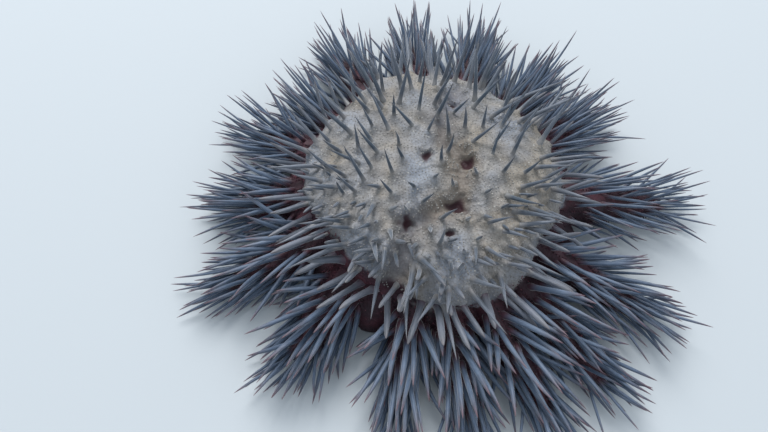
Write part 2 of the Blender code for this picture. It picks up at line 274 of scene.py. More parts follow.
class Arm:
    """One arm along its bearing in degrees: its length past the disc, sway and room at the root."""

    def __init__(self, bearing, length, sway, elbow_room):
        turn = radians(bearing)
        rim = float(disc_outline(turn))
        room = rim * sin(radians(elbow_room) / 2)
        self.start = rim - ARM_ROOT_DEPTH
        self.span = length + ARM_ROOT_DEPTH
        self.sway = sway
        self.half_widths = (min(ARM_WIDEST, room), ARM_TIP_HALF_WIDTH)
        self.outward, self.across = level_ways(turn)

    def centre(self, share):
        along = self.start + self.span * share
        return MIDDLE + self.outward * along + self.across * self.sway * share ** 2

    def point(self, share, girth):
        """Skin of the arm at a share of its span and an angle of girth from the top, in radians."""
        blunt = sqrt(max(0.0, 1 - abs(2 * share - 1) ** END_BLUNTNESS))
        flank = copysign(abs(sin(girth)) ** FLANK_SQUARENESS, girth)
        side = between(self.half_widths, share ** WIDTH_TAPER) * blunt * flank
        height = between(ARM_HEIGHTS, share ** HEIGHT_TAPER)
        rise = max(0.0, BELLY_SHARE + (1 - BELLY_SHARE) * blunt * cos(girth))
        return self.centre(share) + self.across * side + up(height * rise)


def make_arms():
    arms = {}
    for k, row in enumerate(ARMS):
        before, after = ARMS[k - 1][0], ARMS[(k + 1) % len(ARMS)][0]
        arms[f"arm_{k + 1:02d}"] = Arm(*row, min((row[0] - before) % 360, (after - row[0]) % 360))
    return arms


arms = make_arms()
print(len(arms), "arms, the longest", round(1000 * max(length for _, length, _ in ARMS)), "mm")

# %% [markdown]
# ## The webs between the arms
#
# The roots of two neighbours are joined by a low fold of skin, like the web between two
# fingers, which shows as dark maroon deep between the thorns. Each is a flattened dome that
# starts under the rim of the disc. It reaches further out where the gap of its arms is wider.

# %% The webs as formulas
WEB_FROM = 0.006
WEB_REACH = (0.010, 0.029)
WEB_HEIGHT = 0.023
WEB_FILL = 0.5
WEB_OVERLAP = 0.006


def web_point(bearing, gap, turn, height):
    """Skin of the low fold that joins two arms, gap radians apart, to the disc between them."""
    outward, across = level_ways(bearing)
    rim = float(disc_outline(bearing))
    around = sqrt(1 - height ** 2)
    reach = WEB_REACH[0] + WEB_REACH[1] * gap
    along = rim - WEB_FROM + reach * around * cos(turn)
    side = (rim * gap / 2 * WEB_FILL + WEB_OVERLAP) * around * sin(turn)
    return MIDDLE + outward * along + across * side + up(WEB_HEIGHT * max(0.0, height))


def web_places():
    """Bearing of the middle of each gap between two arms, and its width, in radians."""
    bearings = [radians(bearing) for bearing, _, _ in ARMS]
    gaps = [(b - a) % (2 * pi) for a, b in zip(bearings, bearings[1:] + bearings[:1])]
    return [(bearing + gap / 2, gap) for bearing, gap in zip(bearings, gaps)]


webs = web_places()
widest_gap = max(gap for _, gap in webs)
print(len(webs), "webs, the widest", round(1000 * widest_gap * DISC_RADIUS), "mm")

# %% [markdown]
# ## One skin
#
# The living animal has no seam between its disc and its arms. Balls reshaped by the formulas
# overlap, and a voxel remesh melts them into one closed surface, as wet clay is pressed
# together. Some smoothing softens the creases where the arms leave the disc, and the crown,
# where the eye rests, is subdivided once more for its granules and folds.

# %% Melt the disc, the arms and the webs together
VOXEL = 0.0016
SMOOTH_FACTOR = 0.5
SMOOTH_ROUNDS = 4
DISC_GRID, ARM_GRID, WEB_GRID = (144, 72), (40, 36), (32, 20)


def mesh_from(bm, name):
    mesh = bpy.data.meshes.new(name)
    bm.to_mesh(mesh)
    bm.free()
    return mesh


def ball(point_at, across, along):
    """A closed ball whose every corner is moved to point_at(turn, height from -1 to 1)."""
    bm = bmesh.new()
    bmesh.ops.create_uvsphere(bm, u_segments=across, v_segments=along, radius=1)
    for corner in bm.verts:
        turn = atan2(corner.co.y, corner.co.x)
        corner.co = point_at(turn, max(-1.0, min(1.0, corner.co.z)))
    bmesh.ops.recalc_face_normals(bm, faces=bm.faces)
    return mesh_from(bm, "form")


def melted(meshes):
    """One closed, smoothed mesh in place of several that overlap."""
    bm = bmesh.new()
    for mesh in meshes:
        bm.from_mesh(mesh)
        bpy.data.meshes.remove(mesh)
    whole = mesh_from(bm, "skin")
    skin = add_object("skin", whole)
    remesh = skin.modifiers.new("melt", "REMESH")
    remesh.mode = "VOXEL"
    remesh.voxel_size = VOXEL
    smooth = skin.modifiers.new("soften", "SMOOTH")
    smooth.factor = SMOOTH_FACTOR
    smooth.iterations = SMOOTH_ROUNDS
    evaluated = skin.evaluated_get(bpy.context.evaluated_depsgraph_get())
    skin.data = bpy.data.meshes.new_from_object(evaluated)
    skin.modifiers.clear()
    bpy.data.meshes.remove(whole)
    return skin


forms = [ball(lambda turn, height: disc_point(turn, asin(height)), *DISC_GRID)]
for arm in arms.values():
    forms.append(ball(lambda turn, height: arm.point(0.5 + height / 2, turn), *ARM_GRID))
for web in webs:
    forms.append(ball(lambda turn, height: web_point(*web, turn, height), *WEB_GRID))
skin = melted(forms)
print("skin has", len(skin.data.polygons), "faces after melting")

# %% Refine the crown
CROWN_FROM = 0.027
CROWN_REACH = 0.99


def refine_crown(thing):
    """Halves the edges of the faces on top of the disc."""
    bm = bmesh.new()
    bm.from_mesh(thing.data)
    edges = set()
    for face in bm.faces:
        middle = face.calc_center_median()
        away = middle - MIDDLE
        outline = float(disc_outline(atan2(away.y, away.x)))
        if middle.z > CROWN_FROM and away.xy.length < outline * CROWN_REACH:
            edges.update(face.edges)
    bmesh.ops.subdivide_edges(bm, edges=list(edges), cuts=1, use_grid_fill=True)
    bmesh.ops.triangulate(bm, faces=[face for face in bm.faces if len(face.verts) > 4])
    bm.to_mesh(thing.data)
    bm.free()


refine_crown(skin)
skin_tree = BVHTree.FromObject(skin, bpy.context.evaluated_depsgraph_get())
print("and", len(skin.data.polygons), "with the finer crown")

# %% [markdown]
# ## Sculpting the skin
#
# Up close the skin isn't smooth: it sags in folds, is drawn into one long crease from the far
# side to the near, and puckers into pits with a raised lip. Sculpting is moving each corner
# along its own normal, by noise of a real size and by the distance to the crease and the pits.
# Two numbers per corner are kept for the colours: how far it belongs to the tan crown, and how
# far it lies in the crease or inside a pit. The crease is painted darker there, as painted
# shade, and the inside of a pit dark maroon, its own maroon darkened further by painted shade.
# The edge of the tan is frayed and dented, because a clean circle would look painted.
# Underneath, a groove runs along each arm.

# %% Helpers that work on all corners at once


def corner_arrays(thing):
    places = np.zeros(len(thing.data.vertices) * 3)
    normals = np.zeros(len(thing.data.vertices) * 3)
    thing.data.vertices.foreach_get("co", places)
    thing.data.vertices.foreach_get("normal", normals)
    return places.reshape(-1, 3), normals.reshape(-1, 3)


def noise_at(places, size):
    """Smooth noise from about -1 to 1 at places in metres, with swellings of the given size."""
    return np.array([noise.noise(place) for place in (places / size).tolist()])


def smooth_step(values, low, high):
    share = np.clip((values - low) / (high - low), 0, 1)
    return share * share * (3 - 2 * share)


def gap_to_line(places, line):
    """Distance in plan from each place to the nearest stretch of a line of corners."""
    gaps = []
    for a, b in zip(line[:-1], line[1:]):
        way = b - a
        share = np.clip(((places[:, :2] - a) @ way) / (way @ way), 0, 1)
        gaps.append(np.hypot(*(places[:, :2] - a - share[:, None] * way).T))
    return np.min(gaps, axis=0)


places, normals = corner_arrays(skin)
away = places - np.array(MIDDLE)
print("skin has", len(places), "corners")

# %% Raise and lower the corners
# A row of noise is its size and height, one of a pit its x, y and width.
FOLDS = ((0.030, 0.0034), (0.013, 0.0019), (0.0055, 0.0006))
ARM_FOLD_SHARE = 0.35
CREASE = (
    (0.008, 0.062), (0.001, 0.028), (0.018, 0.006),
    (0.017, -0.024), (-0.009, -0.042), (-0.011, -0.075),
)
CREASE_DEPTH = 0.0052
CREASE_WIDTH = 0.0085
CREASE_WOBBLE = (0.012, 0.003)
# How far the crease is painted darker: painted shade.
CREASE_PAINTED_SHADE = 0.30
PITS = (
    (-0.0038, 0.0038, 0.0050), (0.0187, 0.0057, 0.0080), (0.0173, -0.0244, 0.0086),
    (-0.0094, -0.0404, 0.0068), (0.0076, 0.0550, 0.0042), (0.0150, -0.0420, 0.0038),
)
PIT_DEPTH = 0.0030
PIT_DARK_SHARE = 0.62
PIT_DEEP_SHARE = 0.75
PIT_RAGGED = (0.90, 0.0045)
LIP_HEIGHT = 0.0009
LIP_SHARE = 1.15
LIP_WIDTH_SHARE = 0.30
SOLE_KEPT_FLAT = (0.0005, 0.004)
TAN_EDGE_SHARE = 1.004
TAN_EDGE_FRAY = ((0.017, 0.0036), (0.005, 0.0015))
TAN_EDGE_FADE = (-0.0016, 0.0012)
TAN_EDGE_DENTS = ((45, 0.0020, 30), (150, 0.0030, 16), (216, 0.0050, 12), (248, 0.0045, 20))
TAN_LOWEST = (0.0225, 0.0245)


def tan_share(places):
    """1 where the skin is the tan of the crown and 0 where it is maroon, with a ragged edge."""
    away = places - np.array(MIDDLE)
    bearings = np.arctan2(away[:, 1], away[:, 0])
    outline = disc_outline(bearings) * TAN_EDGE_SHARE - dents(bearings, TAN_EDGE_DENTS)
    fray = sum(height * noise_at(places, size) for size, height in TAN_EDGE_FRAY)
    share = smooth_step(outline - np.hypot(away[:, 0], away[:, 1]) + fray, *TAN_EDGE_FADE)
    return share * smooth_step(places[:, 2] + fray, *TAN_LOWEST)


crown = tan_share(places)
fold_share = ARM_FOLD_SHARE + (1 - ARM_FOLD_SHARE) * crown
heights = sum(height * noise_at(places, size) * fold_share for size, height in FOLDS)
upper = places[:, 2] > RIM_HEIGHT
wobble = CREASE_WOBBLE[1] * noise_at(places, CREASE_WOBBLE[0])
crease_gap = gap_to_line(away + wobble[:, None], np.array(CREASE))
crease = np.exp(-((crease_gap / CREASE_WIDTH) ** 2)) * upper
heights -= CREASE_DEPTH * crease
# The crease is painted darker by this mask: painted shade.
hollow = CREASE_PAINTED_SHADE * crease
pucker = 1 + PIT_RAGGED[0] * noise_at(places, PIT_RAGGED[1])
for x, y, width in PITS:
    gap = np.hypot(away[:, 0] - x, away[:, 1] - y)
    edge = width * pucker
    lip = np.exp(-(((gap - edge * LIP_SHARE) / (edge * LIP_WIDTH_SHARE)) ** 2))
    # Inside each pit the mask paints the skin dark maroon: its own maroon darkened further by
    # painted shade.
    hollow = np.maximum(hollow, np.exp(-((gap / (edge * PIT_DARK_SHARE)) ** 6)) * upper)
    heights -= PIT_DEPTH * np.exp(-((gap / (edge * PIT_DEEP_SHARE)) ** 2)) * upper
    heights += LIP_HEIGHT * lip * upper
heights *= smooth_step(places[:, 2], *SOLE_KEPT_FLAT)
places += normals * heights[:, None]
print("heights from", round(heights.min() * 1000, 2), "to", round(heights.max() * 1000, 2), "mm")

# %% Carve the grooves for the feet, and hand the corners back
GROOVE_DEPTH = 0.0040
GROOVE_WIDTH = 0.0026
GROOVE_ENDS = (0.5, 0.93)
FACES_DOWN = -0.3
UNDERSIDE_TOP = 0.006

underneath = (normals[:, 2] < FACES_DOWN) & (places[:, 2] < UNDERSIDE_TOP)
groove = np.zeros(len(places))
for arm in arms.values():
    inner = MIDDLE + arm.outward * MOUTH_RADIUS * GROOVE_ENDS[0]
    line = [inner, arm.centre(0.0), arm.centre(GROOVE_ENDS[1])]
    gap = gap_to_line(places, np.array([corner.xy for corner in line]))
    groove = np.maximum(groove, np.exp(-((gap / GROOVE_WIDTH) ** 4)))
groove *= underneath
places[:, 2] = np.maximum(0.0, places[:, 2]) + GROOVE_DEPTH * groove


def hand_back(thing, places):
    """Moves the corners of a mesh to new places, and measures the new surface for the rest."""
    thing.data.vertices.foreach_set("co", places.ravel())
    thing.data.update()
    return BVHTree.FromObject(thing, bpy.context.evaluated_depsgraph_get())


skin_tree = hand_back(skin, places)
# The second mask paints the crease darker as painted shade, and the pits dark maroon, their own
# maroon darkened by painted shade.
for name, values in (("crown", crown), ("hollow", hollow), ("groove", groove)):
    skin.data.attributes.new(name, "FLOAT", "POINT").data.foreach_set("value", values)
skin.data.shade_smooth()
print("crown covers", round(100 * crown.mean()), "percent of the corners")

# %% [markdown]
# ## Where the thorns stand
#
# A thorn is a root on the skin, an aim, a length, a thickness and a bend. The arms carry them
# in staggered rows, swept outward like quills, longest where the arm is fullest. Real thorns
# never pass through each other, so each new one is tested against all those already placed, at
# once with numpy, and leans back towards its home direction until it is clear.

# %% Keep track of the thorns that are placed
THORN_GAP = 0.0002
TESTED_PLACES = np.linspace(0.12, 1, 8)
TESTED_TAPER = ((0, 0.65, 1), (1, 0.92, 0.15))
STRETCH_ENDS = np.array([0.0, 0.55, 1.0])
STRETCH_WIDTHS = np.array([0.97, 0.62])


class Thorns:
    """All thorns so far, by node, with arrays of their two stretches for a quick test."""

    def __init__(self):
        self.by_node = {}
        self.starts = np.zeros((0, 3))
        self.ends = np.zeros((0, 3))
        self.thickness = np.zeros(0)

    def clear(self, points, radius):
        """True where the points of a thorn keep off all the others."""
        way = self.ends - self.starts
        offset = points[:, None] - self.starts[None]
        share = np.clip((offset * way).sum(2) / (way * way).sum(1), 0, 1)
        gap = np.linalg.norm(offset - share[..., None] * way, axis=2)
        taper = np.interp(TESTED_PLACES, *TESTED_TAPER)
        return bool((gap > radius * taper[:, None] + self.thickness + THORN_GAP).all())

    def add(self, node, thorn):
        self.by_node.setdefault(node, []).append(thorn)
        middle = thorn_line(thorn, STRETCH_ENDS)
        self.starts = np.vstack((self.starts, middle[:-1]))
        self.ends = np.vstack((self.ends, middle[1:]))
        self.thickness = np.append(self.thickness, thorn["radius"] * STRETCH_WIDTHS)


def thorn_line(thorn, places):
    """Points along the middle of a thorn, from 0 at the skin to 1 at the tip."""
    places = places[:, None]
    straight = thorn["root"] + thorn["aim"] * thorn["length"] * places
    return straight + thorn["bend"] * places ** 2 + thorn["sway"] * np.sin(np.pi * places)


thorns = Thorns()
print("each thorn is tested at", len(TESTED_PLACES), "places")

# %% Place one thorn
DRAW = random.Random(20)
TRIES = 12
MOST_LEAN = 0.8
AIM_WANDER = 0.29
SLIGHT_BEND = 0.06
MARKED_BEND = 0.20
MARKED_BEND_SHARE = 0.12
SWAY = 0.012
LOWEST_ROOT = 0.0032
FLOOR_GAP = 0.0012
FLOOR_RADIUS_SHARE = 0.6
FLOOR_LIFT = (0, 0, 0.12)
# Painted light: thorns close to the disc's rim and high on the skin are made paler, partly their
# own colour and partly light on their tops, and less pale on the far side, as painted shade.
LIT_AND_PALE_SHARE = 0.55
LIT_AND_PALE_REACH = 0.024
FAR_PAINTED_SHADE = 0.6


def jitter(most):
    return DRAW.uniform(-most, most)


def wander(most):
    return np.array([jitter(most) for _ in range(3)])


def unit(way):
    return np.array(way) / np.linalg.norm(way)


def limited(share):
    return min(1.0, max(0.0, share))


def far_share(root):
    """How far a place lies on the far side of the disc, from 0 to 1 at the rim."""
    return limited((root[1] - MIDDLE.y) / DISC_RADIUS)


def thorn_lightness_with_painted_light(root):
    """From 0, dark, to 1, pale. Close to the rim of the disc and high on the skin a thorn is
    paler, partly its own colour and partly painted light on its lit top, and less so on the far
    side, as painted shade. The rest differs at random.
    """
    away = hypot(root[0] - MIDDLE.x, root[1] - MIDDLE.y)
    near_rim = exp(-(((away - DISC_RADIUS) / LIT_AND_PALE_REACH) ** 2))
    height = min(1.0, float(root[2]) / RIM_HEIGHT)
    pale = LIT_AND_PALE_SHARE * near_rim * height * (1 - FAR_PAINTED_SHADE * far_share(root))
    return pale + (1 - LIT_AND_PALE_SHARE) * DRAW.random()


def off_skin(point, margin):
    """True where a point is outside the skin by a margin."""
    nearest, normal, _, gap = skin_tree.find_nearest(point)
    return (point - nearest).dot(normal) > 0 and gap > margin


def place_thorn(node, spot, aim, length, radius, home, mark):
    """Roots a thorn on the skin nearest to spot. mark is its place on the skin's own map."""
    root = np.array(skin_tree.find_nearest(spot)[0])
    if root[2] < LOWEST_ROOT:
        return
    lowest = FLOOR_GAP + radius * FLOOR_RADIUS_SHARE
    for attempt in range(TRIES):
        lean = MOST_LEAN * attempt / (TRIES - 1)
        way = unit(unit(aim) * (1 - lean) + unit(home) * lean + wander(AIM_WANDER))
        marked = DRAW.random() < MARKED_BEND_SHARE
        thorn = {
            "root": root, "aim": way, "length": length, "radius": radius, "mark": mark,
            "bend": wander(length * (MARKED_BEND if marked else SLIGHT_BEND)),
            "sway": wander(length * SWAY), "tone": thorn_lightness_with_painted_light(root),
        }
        points = thorn_line(thorn, TESTED_PLACES)
        if points[:, 2].min() < lowest:
            thorn["aim"] = unit(way + FLOOR_LIFT)
            points = thorn_line(thorn, TESTED_PLACES)
        if points[:, 2].min() < lowest or not thorns.clear(points, radius):
            continue
        if all(off_skin(Vector(point), radius) for point in points[2::2]):
            thorns.add(node, thorn)
            return


print("a slight bend is", SLIGHT_BEND, "of a thorn's length and a marked one", MARKED_BEND)

# %% Grow the thorns of the arms
ARM_THORN_RADII = (0.00165, 0.00115)
LOW_THORN_SHARE = 0.85
FAR_THORN_SHARE = 0.70
SIDE_LENGTH_SHARE = 0.66
NEAR_GAIN = -1.5
ARM_ROWS = 11
FIRST_ROW_GAP = 0.0082
LAST_ROW_SHARE = 0.95
WIDE_ROW = (-108, -72, -36, 0, 36, 72, 108)
NARROW_ROW = (-92, -55, -18, 18, 55, 92)
ARM_SWEEP = (1.15, 2.70)
ARM_HOME_LIFT = 0.35
LOWEST_AIM = 0.03
ARM_LENGTHS = (0.028, 0.047)
LENGTH_RISE = (0.22, 0.60)
TIP_FAN = (-75, -52, -30, -10, 12, 33, 54, 77)
TIP_FAN_WIDTH = 0.70
TIP_GIRTH_SHARE = 1.3
TIP_FAN_SHARE = 0.985
TIP_LIFTS = (0.10, 0.30)
TIP_LENGTH = 0.036
GIRTH_WANDER = radians(9)
SPOT_WANDER = 0.035
LENGTH_WANDER = (0.72, 1.12)
RADIUS_WANDER = (0.85, 1.12)


def arm_normal(arm, share, girth):
    step = 0.02
    along = arm.point(min(0.98, share + step), girth) - arm.point(max(0.02, share - step), girth)
    around = arm.point(share, girth + step) - arm.point(share, girth - step)
    return along.cross(around).normalized()


def grow_on_arm(name, arm):
    """Rows of thorns along an arm, then a fan round its tip. They are stouter near the camera."""
    first_share = (ARM_ROOT_DEPTH + FIRST_ROW_GAP) / arm.span
    home = np.array(arm.outward + up(ARM_HOME_LIFT))
    thickness = between((FAR_THORN_SHARE, 1), limited(NEAR_GAIN * arm.outward.y))
    for row in range(ARM_ROWS):
        progress = row / (ARM_ROWS - 1)
        fullness = sin(pi * (LENGTH_RISE[0] + LENGTH_RISE[1] * progress))
        for degrees in NARROW_ROW if row % 2 else WIDE_ROW:
            girth = radians(degrees) + jitter(GIRTH_WANDER)
            share = between((first_share, LAST_ROW_SHARE), progress) + jitter(SPOT_WANDER)
            aim = arm_normal(arm, share, girth) + arm.outward * between(ARM_SWEEP, progress)
            aim.z = max(aim.z, LOWEST_AIM)
            length = between(ARM_LENGTHS, fullness) * DRAW.uniform(*LENGTH_WANDER)
            length *= between((1, SIDE_LENGTH_SHARE), abs(girth) / pi)
            radius = thickness * between(ARM_THORN_RADII, progress) * DRAW.uniform(*RADIUS_WANDER)
            radius *= between((1, LOW_THORN_SHARE), abs(girth) / pi)
            mark = (0.5 + girth / (2 * pi), 0.05 + 0.85 * share)
            place_thorn(name, arm.point(share, girth), aim, length, radius, home, mark)
    tip_way = (arm.centre(1.0) - arm.centre(0.8)).normalized()
    home = np.array(tip_way) + (0, 0, 0.2)
    for k, degrees in enumerate(TIP_FAN):
        turn = radians(degrees)
        aim = tip_way + arm.across * sin(turn) * TIP_FAN_WIDTH + up(TIP_LIFTS[k % 2])
        length = TIP_LENGTH * DRAW.uniform(*LENGTH_WANDER)
        spot = arm.point(TIP_FAN_SHARE, turn * TIP_GIRTH_SHARE)
        mark = (0.5 + turn / pi * 0.45, 0.96)
        place_thorn(name, spot, aim, length, thickness * ARM_THORN_RADII[1], home, mark)


for name, arm in arms.items():
    grow_on_arm(name, arm)
print("thorns on the arms", [len(group) for group in thorns.by_node.values()])

# %% [markdown]
# ## The thorns of the disc
#
# They come in three sets: fine sharp ones all over the crown, short in the middle, longer and
# darker on the far side, blunt ones round the rim, and a thicket of short stout ones on the
# near side. A golden angle, or a golden share of a stretch, spreads them evenly without rows.
# None stands in a pit.

# %% Grow the thorns of the disc
DISC_THORNS = 170
DISC_THORN_RADII = (0.00100, 0.00130)
DISC_LENGTHS = (0.018, 0.036)
DISC_LENGTH_WANDER = (0.55, 1.15)
DISC_TURN_WANDER = 0.10
DISC_SHARE_WANDER = 0.03
CROWDING = 0.43
DISC_LEAN = 0.70
DISC_WANDER = 0.32
DISC_EDGE = 0.985
DISC_HOME_LIFT = 0.6
FAR_LONGER = 0.25
RIM_THORNS = 54
RIM_LENGTH = 0.032
RIM_RADII = (0.00125, 0.00190)
RIM_LATITUDES = (-0.28, 0.20)
RIM_LIFTS = (0.10, 0.65)
RIM_STEP_WANDER = 0.55
RIM_HOME_LIFT = 0.8
NEAR_THORNS = 84
NEAR_BEARINGS = (radians(186), radians(354))
NEAR_TURN_WANDER = 0.06
NEAR_SHARES = (0.58, 0.985)
NEAR_CROWDING = 0.7
NEAR_LENGTHS = (0.012, 0.025)
NEAR_RADII = (0.00085, 0.00155)
GOLDEN_SHARE = 0.618
GOLDEN_DEGREES = 137.508
GOLDEN_ANGLE = radians(GOLDEN_DEGREES)


def disc_normal(bearing, latitude):
    step = 0.03
    around = disc_point(bearing + step, latitude) - disc_point(bearing - step, latitude)
    upward = disc_point(bearing, latitude) - disc_point(bearing, latitude - step)
    return around.cross(upward).normalized()


def disc_mark(bearing, share):
    """The crown unrolled flat about its top: share runs from 0 there to 1 at the rim."""
    return (0.5 + 0.44 * share * cos(bearing), 0.5 + 0.44 * share * sin(bearing))


def grow_on_crown(group, bearing, share, length, radius):
    """One thorn of the crown, at a share of the way from its top to the rim."""
    latitude = acos(share ** (1 / CROWN_FULLNESS))
    spot = disc_point(bearing, latitude)
    x, y, _ = spot - MIDDLE
    if any(hypot(x - pit_x, y - pit_y) < width for pit_x, pit_y, width in PITS):
        return
    normal = disc_normal(bearing, latitude)
    aim = normal + level_ways(bearing)[0] * DISC_LEAN * share + Vector(wander(DISC_WANDER))
    length *= DRAW.uniform(*DISC_LENGTH_WANDER) * (1 + FAR_LONGER * far_share(spot))
    radius *= DRAW.uniform(*RADIUS_WANDER)
    home = np.array(normal) + (0, 0, DISC_HOME_LIFT)
    place_thorn(group, spot, aim, length, radius, home, disc_mark(bearing, share))


def grow_on_disc():
    for k in range(DISC_THORNS):
        share = ((k + 0.5) / DISC_THORNS) ** CROWDING * DISC_EDGE
        bearing = k * GOLDEN_ANGLE + jitter(DISC_TURN_WANDER)
        share = min(DISC_EDGE, max(0.02, share + jitter(DISC_SHARE_WANDER)))
        length = between(DISC_LENGTHS, share)
        grow_on_crown("disc", bearing, share, length, between(DISC_THORN_RADII, share))
    for k in range(RIM_THORNS):
        bearing = 2 * pi * (k + jitter(RIM_STEP_WANDER)) / RIM_THORNS
        latitude = DRAW.uniform(*RIM_LATITUDES)
        outward = Vector((cos(bearing), sin(bearing), DRAW.uniform(*RIM_LIFTS)))
        aim = outward + Vector(wander(DISC_WANDER))
        length = RIM_LENGTH * DRAW.uniform(*LENGTH_WANDER)
        near = limited(NEAR_GAIN * sin(bearing))
        radius = between(RIM_RADII, near) * DRAW.uniform(*RADIUS_WANDER)
        home = np.array(outward) + (0, 0, RIM_HOME_LIFT)
        mark = disc_mark(bearing, 1.06 + 0.03 * (k % 2))
        place_thorn("rim", disc_point(bearing, latitude), aim, length, radius, home, mark)
    for k in range(NEAR_THORNS):
        bearing = between(NEAR_BEARINGS, k * GOLDEN_SHARE % 1) + jitter(NEAR_TURN_WANDER)
        share = between(NEAR_SHARES, ((k + DRAW.random()) / NEAR_THORNS) ** NEAR_CROWDING)
        closeness = (max(0.0, -sin(bearing)) * share) ** 2
        length = between(NEAR_LENGTHS, closeness)
        grow_on_crown("near", bearing, share, length, between(NEAR_RADII, closeness))


grow_on_disc()
print("thorns of the disc", {name: len(thorns.by_node[name]) for name in ("disc", "rim", "near")})

# %% [markdown]
# ## A mound round every thorn
#
# The skin climbs up the first millimetres of a thorn, as a soft cone on the crown and a low
# ring on the arms. This is the sculpting again, with the distance to the nearest root.

# %% Raise the skin round the roots
CROWN_MOUND = 0.0034
ARM_MOUND = 0.0012
MOUND_WIDTH = 0.0028
MOUND_SHARPNESS = 1.3
MOUND_FROM = 0.002


def nearest_gap(places, targets):
    """Distance from each place to the nearest target, in slices that fit in memory."""
    gaps = [
        np.sqrt(((part[:, None] - targets[None]) ** 2).sum(2).min(1))
        for part in np.array_split(places, 1 + len(places) // 2000)
    ]
    return np.concatenate(gaps)


roots = np.array([thorn["root"] for group in thorns.by_node.values() for thorn in group])
gap = nearest_gap(places, roots)
mound = np.exp(-((gap / MOUND_WIDTH) ** MOUND_SHARPNESS)) * (places[:, 2] > MOUND_FROM)
places, normals = corner_arrays(skin)
places += normals * (mound * (ARM_MOUND + (CROWN_MOUND - ARM_MOUND) * crown))[:, None]
skin_tree = hand_back(skin, places)
print("mounds round", len(roots), "thorns")

# %% [markdown]
# ## Granular echinoderm skin
#
# The real surface is a thin, moist living skin grown over thousands of limy granules, like
# fine wet sandpaper that can stretch. So it is matt, with a soft broken gloss, an index of
# refraction near that of wet tissue, 1.4, and a roughness of 0.5 to 0.75. The crown drifts
# between sandy tan and grey in patches of some 3 cm, with pale specks where single granules
# show, and the arms are dark maroon. The pits are dark maroon too, their own maroon darkened
# further by painted shade; the crease is painted darker, and the gaps between the granules
# are darkened, both as painted shade. The granules are about 1 mm apart, drawn coarser than
# real, at 1.4 mm, so that they show.

# %% Material of the skin
GRANULE = 0.0014
SPECK = 0.0030
BLOTCH = 0.014
HUE_PATCH = 0.034


def make_skin_material():
    material, add = new_material("granular echinoderm skin, tan crown and maroon arms")
    where = add("TexCoord", {}, "Object")
    crown_part, hollow_maroon_and_shade_part, groove_part = [
        add("Attribute", {"attribute_name": name}, "Fac")
        for name in ("crown", "hollow", "groove")
    ]
    blotches = add(
        "TexNoise", {"Scale": 1 / BLOTCH, "Detail": 5.0, "Roughness": 0.6, "Vector": where}
    )
    patches = add("TexNoise", {"Scale": 1 / HUE_PATCH, "Detail": 3.0, "Vector": where})
    grains, specks = [
        add("TexVoronoi", {"Scale": 1 / size, "Randomness": 1.0, "Vector": where})
        for size in (GRANULE, SPECK)
    ]
    sandy, greyish, maroon = [
        add("ValToRGB", {"stops": list(zip(places, shades)), "Fac": blotches})
        for places, shades in (
            ((0.30, 0.50, 0.72), ("#847c72", "#918a80", "#9a948c")),
            ((0.30, 0.50, 0.72), ("#7a7f87", "#888d96", "#9399a2")),
            ((0.30, 0.52, 0.75), ("#2a1d25", "#412731", "#61343e")),
        )
    ]
    greyness = add("MapRange", {"From Min": 0.38, "From Max": 0.62, "Value": patches})
    clean_tan = add(
        "Mix", {"data_type": "RGBA", 0: greyness, MIX_A: sandy, MIX_B: greyish}, MIX_RESULT
    )
    # Painted shade between the granules: the colour darkens away from the middle of each granule,
    # towards the gaps.
    gap_shade_stops = ((0.0, "#ffffff"), (0.55, "#ebe8e6"), (1.0, "#c6c0bc"))
    painted_gap_shade = add("ValToRGB", {"stops": gap_shade_stops, "Fac": grains})
    shaded_tan, shaded_maroon = [
        add("Mix", {
            "data_type": "RGBA", "blend_type": "MULTIPLY",
            0: strength, MIX_A: colour, MIX_B: painted_gap_shade,
        }, MIX_RESULT)
        for strength, colour in ((0.8, clean_tan), (0.9, maroon))
    ]
    speck_stops = ((0.10, "#ffffff"), (0.22, "#000000"))
    speck_shape = add("ValToRGB", {"stops": speck_stops, "Fac": specks})
    speck_choice = add(
        "Math", {"operation": "GREATER_THAN", 0: specks.node.outputs["Color"], 1: 0.62}
    )
    speck = add("Math", {"operation": "MULTIPLY", 0: speck_shape, 1: speck_choice})
    speckled_tan = add(
        "Mix", {"data_type": "RGBA", 0: speck, MIX_A: shaded_tan, MIX_B: linear("#b3b0a9")},
        MIX_RESULT,
    )
    # The crease and the pits are mixed towards #2f121a: painted shade in the crease, and in the
    # pits their own maroon darkened further by painted shade.
    colour = shaded_maroon
    for part, cover in (
        (crown_part, speckled_tan),
        (hollow_maroon_and_shade_part, linear("#2f121a")),
        (groove_part, linear("#a3906a")),
    ):
        colour = add("Mix", {"data_type": "RGBA", 0: part, MIX_A: colour, MIX_B: cover}, MIX_RESULT)
    gloss = add("MapRange", {"To Min": 0.5, "To Max": 0.75, "Value": blotches})
    bumps = add("Bump", {"Strength": 0.5, "Distance": 0.0005, "invert": True, "Height": grains})
    shader = add(
        "BsdfPrincipled",
        {"IOR": 1.4, "Base Color": colour, "Roughness": gloss, "Normal": bumps},
    )
    add("OutputMaterial", {"Surface": shader})
    return material


skin.data.materials.clear()
skin.data.materials.append(make_skin_material())
print("granules drawn", 1000 * GRANULE, "mm apart")

# %% [markdown]
# ## From a line to a body
#
# Thorns, granules, finger-like gills and tube feet are all the same thing to a modeller: a
# round body along a short bent line, thick or thin by a profile. A curve and a bevel for each
# would do, but there are thousands, so one function sweeps rings along all the lines at once
# and hands Blender one closed mesh per piece. For the colours it writes how far along each
# corner lies, how light each body is, and a place for a grain that is stretched along the
# body. How light a body is differs at random, and on the thorns it also holds painted light
# and shade. On the map every body has a patch of its own.

# %% Sweep many bodies at once
GRAIN_STRETCH = 0.25
GRAIN_APART = 0.05
EDGED_FROM = (0.55, 0.9)


